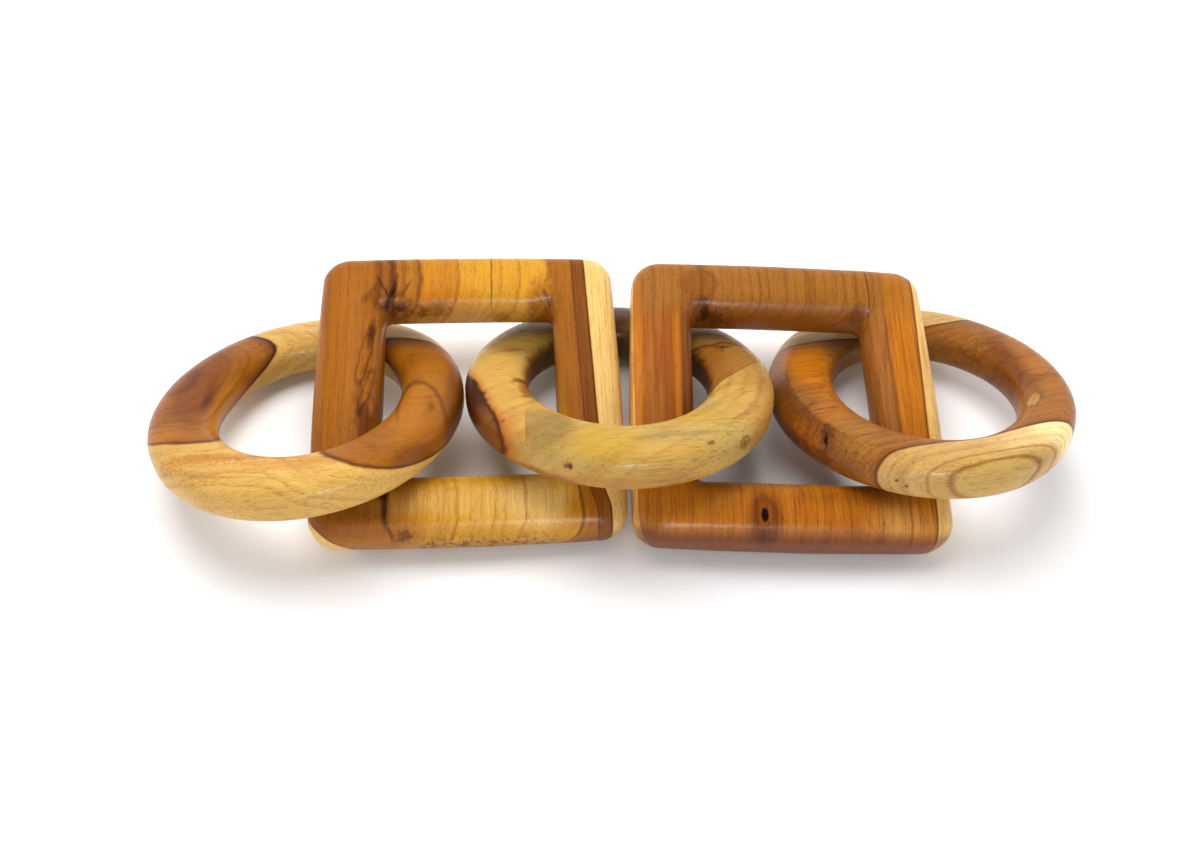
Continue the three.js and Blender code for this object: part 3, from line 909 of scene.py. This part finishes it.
def right_square_wood(tones):
    """Reddish brown heartwood with pale sapwood on the right."""
    wood = Wood("right_square_wood", "Y", 0, tones.heartwood)
    x, y, z = wood.x, wood.y, wood.z
    back = y.rise(40, 56)
    bar = y.fall(40, 56)
    low = wood.most(15 - z, 0)
    growth = x + low * 0.4 + low * low * back * 0.05 + wood.streaks(30, 12, 2.9)
    right = x - y * 0.035 - 75.3
    left = -71.4 - x * 0.905 - y * 0.019 - z * 0.424
    wood.paint(back * 0.06, tones.sapwood)
    wood.darken(back * 0.6, (0.76, 0.93, 1))
    wood.darken(x.within(-69, -62.5, 0.8) * bar * 0.4, (0.72, 0.5, 0.45))
    wood.paint(x.within(-62.5, -58.5, 1.2) * bar * 0.35, tones.golden)
    inner = bar * y.rise(-45, -35)
    wood.paint(x.within(-58.5, -40, 1) * inner * 0.95, tones.dull)
    wood.paint(x.within(40, 58.5, 0.8) * inner * 0.3, tones.dull)
    wood.paint(x.within(40, 58.5, 0.8) * inner * 0.07, tones.sapwood)
    wood.paint(x.rise(58, 62) * (0.6 - back * 0.25), tones.golden)
    wood.paint(y.fall(-55, -50) * 0.45, tones.golden)
    wood.blot((58, -73, 14), (20, 6, 12), tones.sapwood, 0.2, 4)
    wood.blot((52, -69, 15), (10, 14, 16), tones.sapwood, 0.14, 3, ragged=3)
    wood.blot((-60, -69, 15), (12, 14, 16), tones.golden, 0.5, 4, ragged=3)
    wood.blot((28, -69, 15), (5, 14, 16), tones.dull, 0.4, 2, ragged=2)
    wood.blot((45, -60, 14), (40, 4, 12), tones.dull, 0.5, 3)
    wood.blot((-18, -72, 15), (9, 15, 14), tones.dull, 0.85, 3, ragged=2)
    wood.blot((-48, 66, 15), (10, 9, 14), tones.dull, 0.6, 3)
    wood.blot((-15, 50, 8), (40, 7, 14), tones.dull, 0.4, 4, ragged=3)
    wood.blot((-85, 0, 4), (5, 90, 30), tones.golden, 0.8, 3)
    wood.paint(wood.most(right.rise(-0.4, 0.4), left.rise(-0.4, 0.4) * 0.7), tones.sapwood)
    wood.lines(right, ((-0.6, 1.4, 0.7),))
    wood.lines(left, ((-0.4, 1, 0.35),))
    wood.lines(x + wood.clouds(20, 1.9), ((59, 1.4, 0.45),), bar)
    faint = ((17, 2, 0.5), (37, 2, 0.4), (44, 2, 0.5), (3, 2, 0.2), (-12, 2, 0.3))
    wood.lines(growth + wood.clouds(14, 6.1) * 2, faint, colour=FAINT_LINE)
    crack = (0.2, 0.1, 0.06)
    wood.lines(x + wood.clouds(9, 1.2) * 0.6, ((51, 0.6, 0.9),), back, crack)
    knot = back * x.rise(-52, -42)
    wood.loop((-48, 66, 15), (10.5, 10, 30), knot * 0.35, 2.5, ragged=2)
    wood.rays((-49, 45), 5, 14, knot * 0.7)
    wood.rays((49, 45), 4, 12, back * x.fall(44, 49) * 0.4)
    wood.darken_patch((-37, 51, 4), (9, 2.5, 6), 0.75, 1.5, ragged=3.5, size=3)
    wood.darken_patch((-43, 52.5, 7), (2.2, 3, 7), 0.9, ragged=1.5, size=3)
    wood.darken_patch((-46, 55, 12), (7, 3, 8), 0.6, 2, SMOKE, ragged=2, size=4)
    wood.darken_patch((-46, 79, 12), (4, 2, 6), 0.6, 1, SMOKE, ragged=1, size=3)
    wood.darken_patch((46, 54, 8), (5, 5, 8), 0.5, 2, SMOKE, ragged=3, size=4)
    wood.darken_patch((-17.8, -70.4, 16), (1.9, 3.8, 5), 1, 0.4, (0.03, 0.03, 0.03))
    wood.loop((-18, -70.5, 15), (5, 9, 14), 0.5, 2.5, FAINT_LINE, ragged=1)
    # Painted shade: the lower front face is darkened.
    wood.darken(y.fall(-80, -73) * z.fall(9, 16) * 0.95, (0.36, 0.24, 0.2))
    ripples = wood.noise_at(x / 1.4, y / 40, z / 12, 3, 0.6)
    wood.darken(ripples.rise(-0.1, 0.4) * (0.6 - back * 0.4), (0.6, 0.4, 0.3))
    scraped = wood.noise_at(x / 14, y / 0.9 + wood.clouds(16, 2.3) * 2, z / 0.9, 3, 0.6)
    wood.darken(scraped.rise(0, 0.5) * back * 0.3, (0.6, 0.45, 0.32))
    return wood.finished(growth, 5.5, rings=back * 0.22 + 0.2, pores=0.4)


def right_ring_wood(tones):
    """Brown heartwood with sapwood at the front and the back that shows its growth rings."""
    wood = Wood("right_ring_wood", "X", 0.155, tones.sapwood)
    x, y, z = wood.x, wood.y, wood.z
    # The border is a cylinder about a leaning axis.
    outside = wood.far(y + 4.2 - x * 0.155, z + 12.3 + x * 0.018) - 59.9 + wood.streaks(14, 7, 9.3) * 0.6
    heart = outside.fall(-0.5, 0.5)
    wood.blot((66, -50, 8), (28, 18, 18), tones.pale, 1, 7)
    wood.blot((36, -62, 14), (22, 8, 10), tones.pale, 0.35, 5)
    wood.paint(heart, tones.heartwood)
    wood.blot((-56, -52, 14), (14, 12, 12), tones.grey, heart * 0.12, 5, ragged=3)
    wood.blot((-58, 22, 6), (14, 32, 20), tones.golden, heart * 0.9, 6, ragged=3)
    wood.blot((-60, -28, 12), (8, 22, 10), tones.golden, heart * 0.3, 5, turn=-25)
    wood.blot((-82, -41, -3), (8, 30, 15), tones.dark, heart * 0.95, 4, turn=27, ragged=2)
    wood.blot((-70, -62, 0), (20, 16, 16), tones.dull, heart * 0.6, 5, turn=-45)
    wood.blot((-74, -36, 6), (6, 12, 12), tones.golden, heart * 0.6, 3, turn=15, ragged=5, size=3)
    wood.blot((54, 8, 10), (7, 26, 25), tones.dull, heart * 0.85, 5, ragged=2)
    wood.blot((68, 10, 8), (8, 40, 25), tones.golden, heart * 0.3, 5)
    wood.blot((62, -42, 10), (14, 8, 14), tones.golden, heart * 0.3, 5)
    wood.blot((51, -28, 12), (7, 2.6, 10), tones.grey, heart * 0.4, 0.9, turn=50, ragged=1.2, size=3)
    wood.edge(outside, 0.7, 0.3)
    wood.loop((51, -28, 12), (7.5, 3.1, 12), heart * 0.45, 1, turn=50, ragged=1)
    wood.darken_patch((51, -28, 12), (4, 0.6, 10), heart * 0.2, 0.6, turn=50, ragged=0.6, size=3)
    flames = wood.streaks(40, 7, 8.8, detail=3, roughness=0.6).rise(0, 0.35)
    wood.darken(flames * heart * x.rise(20, 50) * y.rise(-25, -5) * 0.55, SMOKE)
    rim = (wood.far(x, y) + wood.clouds(20, 3.6)).rise(73.5, 75.5) * heart
    wood.darken(rim * x.fall(-55, -45) * y.within(-48, 15, 10) * 0.75, SMOKE)
    hole = (0.04, 0.03, 0.03)
    wood.darken_patch((-66.3, -45, 11), (1.1, 3.4, 8), 1, 0.4, hole, turn=-12, ragged=0.5, size=2)
    wood.darken_patch((-66.3, -44, 11), (3.5, 6, 9), 0.6, 1.4, turn=-12, ragged=2.5, size=2)
    for wide, deep, strong in ((6, 11, 0.3), (10.5, 15, 0.35), (17, 27, 0.3)):
        shown = heart * x.fall(-68, -56) * strong
        wood.loop((-67, -43, 9), (wide, deep, wide * 1.6), shown, 1.3, turn=-30, ragged=3, size=9)
    wander = wood.across + wood.clouds(13, 4.4) * 2.2
    cross = ((22, 1, 0.3), (18, 1.6, 0.5), (6, 1.6, 0.4), (-11, 1.6, 0.5), (-16, 1, 0.3), (-22, 1.4, 0.4))
    wood.lines(wander, cross, heart * 0.5)
    grain = wood.streaks(60, 1.6, 3.1, detail=3, roughness=0.6)
    wood.darken(grain.rise(0, 0.4) * heart * (x.fall(-40, -10) * 0.35 + 0.55), FAINT_LINE)
    wood.paint(outside.rise(13, 14) * 0.35, tones.grey)
    wood.paint(outside.rise(18, 20) * 0.45, tones.grey)
    years = ((3.6, 0.9, 0.15), (7.5, 0.8, 0.2), (13.2, 0.9, 0.8), (17.6, 1.1, 1))
    wood.lines(outside, years, colour=FAINT_LINE)
    for centre in ((-38.1, -74.9, 1.2), (-33.5, -77, -1.2)):
        wood.darken_patch(centre, (0.8, 2, 0.8), 1, 0.4)
    figure = wood.noise_at(x / 2.4, y / 2.4, z / 1.3, 2, 0.6)
    wood.darken(figure.rise(0, 0.5) * outside.rise(11, 17) * 0.3, FAINT_LINE)
    return wood.finished(outside, 4.4, rings=heart * 0.15 + 0.07)


# The stage

FLOOR_HALF = 4
SKY_BAND = 2.4
SKY_OVERHEAD = 0.15
SKY_BAND_TOP = 0.55
SKY_BAND_FADE = 0.15
SKY_SIDE = (0, 0.2, 0)
SKY_MIRRORED = 0.22
OVERHEAD_LIGHT_PLACE = (-0.1, 0.25, 0.75)
OVERHEAD_LIGHT_SIZE = 0.6
OVERHEAD_LIGHT_WATTS = 7
FRONT_LIGHT_PLACE = (0.1, -0.95, 0.85)
FRONT_LIGHT_SIZE = 0.3
FRONT_LIGHT_WATTS = 6


class StageSizes(PropertyGroup):
    """The floor and the camera"""

    floor_tone: tone("Floor colour", "Colour of the floor", (0.9, 0.9, 0.9))
    camera_distance: length("Camera distance", "From the point it looks at", 534.92)
    camera_height: turning("Camera elevation", "Above the table", 52.419)
    camera_yaw: turning("Camera azimuth", "About the vertical, from straight in front", -6.62)
    camera_roll: turning("Camera roll", "About its own axis", 4.122)
    target_x: length("Target along", "Where the camera looks, along the chain", -9.13)
    target_y: length("Target across", "Where the camera looks, across the chain", 10.37)
    lens: FloatProperty(name="Lens", description="Focal length on a 36 mm sensor", default=27.171, min=10)


def add_floor(stage):
    """A wide plain floor, matt white."""
    half = FLOOR_HALF
    mesh = bpy.data.meshes.new("floor")
    corners = [(-half, -half, 0), (half, -half, 0), (half, half, 0), (-half, half, 0)]
    mesh.from_pydata(corners, [], [(0, 1, 2, 3)])
    finish = {"Base Color": stage.floor_tone, "Roughness": 0.9, "Specular IOR Level": 0.1}
    mesh.materials.append(Finish("studio_floor").shown(finish))
    floor = bpy.data.objects.new("floor", mesh)
    bpy.context.scene.collection.objects.link(floor)


def add_softbox(name, place, size, watts, mirrored):
    """A square soft light that faces the chain's middle, and shows only in its varnish or not in it."""
    light = bpy.data.lights.new(name, "AREA")
    light.shape = "SQUARE"
    light.size = size
    light.energy = watts
    lamp = bpy.data.objects.new(name, light)
    lamp.location = place
    lamp.visible_glossy = mirrored
    lamp.visible_diffuse = not mirrored
    lamp.rotation_euler = Vector(place).to_track_quat("Z", "Y").to_euler()
    bpy.context.scene.collection.objects.link(lamp)


def add_camera(stage):
    """The camera, turned, raised and rolled as the photograph was taken."""
    camera = bpy.data.cameras.new("camera")
    camera.sensor_fit = "HORIZONTAL"
    camera.sensor_width = 36
    camera.lens = stage.lens
    camera.clip_start = 0.01
    flat = math.cos(stage.camera_height)
    back = Vector((
        math.sin(stage.camera_yaw) * flat,
        -math.cos(stage.camera_yaw) * flat,
        math.sin(stage.camera_height),
    ))
    level = Vector((0, 0, 1)).cross(back).normalized()
    upward = back.cross(level)
    right = math.cos(stage.camera_roll) * level + math.sin(stage.camera_roll) * upward
    top = math.cos(stage.camera_roll) * upward - math.sin(stage.camera_roll) * level
    eye = bpy.data.objects.new("camera", camera)
    pose = Matrix((right, top, back)).transposed().to_4x4()
    pose.translation = Vector((stage.target_x, stage.target_y, 0)) + stage.camera_distance * back
    eye.matrix_world = pose
    bpy.context.scene.collection.objects.link(eye)
    bpy.context.scene.camera = eye


def add_sky():
    """White light from around the table: bright low down, dim overhead, and stronger on one side."""
    world = bpy.data.worlds.new("studio")
    world.use_nodes = True
    sky = Nodes(world.node_tree)
    direction = sky.node("ShaderNodeTexCoord").outputs["Generated"]
    height = sky.dot(direction, (0, 0, 1))
    low = height.fall(SKY_BAND_TOP - SKY_BAND_FADE, SKY_BAND_TOP + SKY_BAND_FADE)
    light = low * (SKY_BAND - SKY_OVERHEAD) + SKY_OVERHEAD
    mirrored = Field(sky, sky.node("ShaderNodeLightPath").outputs["Is Glossy Ray"])
    strength = light * (sky.dot(direction, SKY_SIDE) + 1) * (1 - mirrored * (1 - SKY_MIRRORED))
    background = world.node_tree.nodes["Background"]
    sky.feed(background.inputs["Color"], (1, 1, 1))
    sky.feed(background.inputs["Strength"], strength)
    bpy.context.scene.world = world


# The add-on

class WhimsyChain(PropertyGroup):
    """All sizes and colours of the chain and its stage"""

    lay: group(ChainLay, "Lay")
    left_ring: group(LeftRingSizes, "Left ring")
    left_square: group(LeftSquareSizes, "Left square")
    middle_ring: group(MiddleRingSizes, "Middle ring")
    right_square: group(RightSquareSizes, "Right square")
    right_ring: group(RightRingSizes, "Right ring")
    left_ring_wood: group(LeftRingWood, "Left ring wood")
    left_square_wood: group(LeftSquareWood, "Left square wood")
    middle_ring_wood: group(MiddleRingWood, "Middle ring wood")
    right_square_wood: group(RightSquareWood, "Right square wood")
    right_ring_wood: group(RightRingWood, "Right ring wood")
    stage: group(StageSizes, "Stage")


class AddLeftRing(Operator):
    """Adds the left ring"""

    bl_idname = "whimsy_chain.left_ring"
    bl_label = "Left ring"

    def execute(self, context):
        flat = {"slope": 140, "reach": 16.2, "middle": 185, "spread": 75}
        add_link(context, "left_ring", left_ring_wood, (0.3, 7.1, 2.9), flat)
        return {"FINISHED"}


class AddLeftSquare(Operator):
    """Adds the left square"""

    bl_idname = "whimsy_chain.left_square"
    bl_label = "Left square"

    def execute(self, context):
        flat = {"slope": 56, "reach": 17.3}
        dents = (
            ((-45, 51, 8), (9, 4, 7), 1.2),
            ((45, 51, 8), (7, 5, 7), 1.2),
            ((-37, 57, 12), (3, 4, 4), 0.7),
        )
        add_link(context, "left_square", left_square_wood, (5.2, 1.7, 8.8), flat, dents)
        return {"FINISHED"}


class AddMiddleRing(Operator):
    """Adds the middle ring"""

    bl_idname = "whimsy_chain.middle_ring"
    bl_label = "Middle ring"

    def execute(self, context):
        dents = (((-31, -80, 3), (2.5, 3, 2), 0.7), ((58, -63, 4), (2, 2, 2), 0.5))
        add_link(context, "middle_ring", middle_ring_wood, (9.4, 3.3, 6.1), dents=dents)
        return {"FINISHED"}


class AddRightSquare(Operator):
    """Adds the right square"""

    bl_idname = "whimsy_chain.right_square"
    bl_label = "Right square"

    def execute(self, context):
        flat = {"slope": 56, "reach": 18}
        dents = (
            ((-18, -70.5, 16), (2.2, 4, 4), 1.5),
            ((-43, 52, 6), (4, 4, 6), 1.2),
            ((44, 52, 8), (5, 4, 6), 0.8),
        )
        add_link(context, "right_square", right_square_wood, (2.6, 4.8, 0.7), flat, dents)
        return {"FINISHED"}


class AddRightRing(Operator):
    """Adds the right ring"""

    bl_idname = "whimsy_chain.right_ring"
    bl_label = "Right ring"

    def execute(self, context):
        flat = {"slope": 42, "reach": 14.6, "middle": 195, "spread": 60}
        dents = (
            ((-66.3, -45, 11), (1.5, 3, 4), 1.6),
            ((-73, -36, 8), (4, 8, 6), 0.8),
            ((51, -28, 12), (5, 3, 4), 0.4),
        )
        add_link(context, "right_ring", right_ring_wood, (7.7, 0.9, 3.5), flat, dents)
        return {"FINISHED"}


class AddStage(Operator):
    """Adds the floor, the lights and the camera"""

    bl_idname = "whimsy_chain.stage"
    bl_label = "Stage"

    def execute(self, context):
        stage = context.scene.whimsy_chain.stage
        add_floor(stage)
        add_sky()
        add_softbox(
            "overhead_light", OVERHEAD_LIGHT_PLACE, OVERHEAD_LIGHT_SIZE, OVERHEAD_LIGHT_WATTS, mirrored=False
        )
        add_softbox("front_light", FRONT_LIGHT_PLACE, FRONT_LIGHT_SIZE, FRONT_LIGHT_WATTS, mirrored=True)
        add_camera(stage)
        context.scene.view_settings.view_transform = "Standard"
        return {"FINISHED"}


LINK_OPERATORS = (AddLeftRing, AddLeftSquare, AddMiddleRing, AddRightSquare, AddRightRing)


class ChainPanel(Panel):
    """Lists the chain's pieces"""

    bl_idname = "VIEW3D_PT_whimsy_chain"
    bl_label = "Whimsy chain"
    bl_space_type = "VIEW_3D"
    bl_region_type = "UI"
    bl_category = "Whimsy chain"

    def draw(self, context):
        for operator in (*LINK_OPERATORS, AddStage):
            self.layout.operator(operator.bl_idname)


CLASSES = (
    ChainLay, LeftRingSizes, LeftSquareSizes, MiddleRingSizes, RightSquareSizes, RightRingSizes,
    LeftRingWood, LeftSquareWood, MiddleRingWood, RightSquareWood, RightRingWood,
    StageSizes, WhimsyChain, *LINK_OPERATORS, AddStage, ChainPanel,
)


def register():
    """Registers the chain's classes and its settings."""
    for cls in CLASSES:
        bpy.utils.register_class(cls)
    bpy.types.Scene.whimsy_chain = group(WhimsyChain, "Whimsy chain")


def unregister():
    """Takes the chain's settings and classes away."""
    del bpy.types.Scene.whimsy_chain
    for cls in reversed(CLASSES):
        bpy.utils.unregister_class(cls)


def main():
    """Makes the chain and its stage."""
    register()
    bpy.ops.whimsy_chain.left_ring()
    bpy.ops.whimsy_chain.left_square()
    bpy.ops.whimsy_chain.middle_ring()
    bpy.ops.whimsy_chain.right_square()
    bpy.ops.whimsy_chain.right_ring()
    bpy.ops.whimsy_chain.stage()


if __name__ == "__main__":
    main()
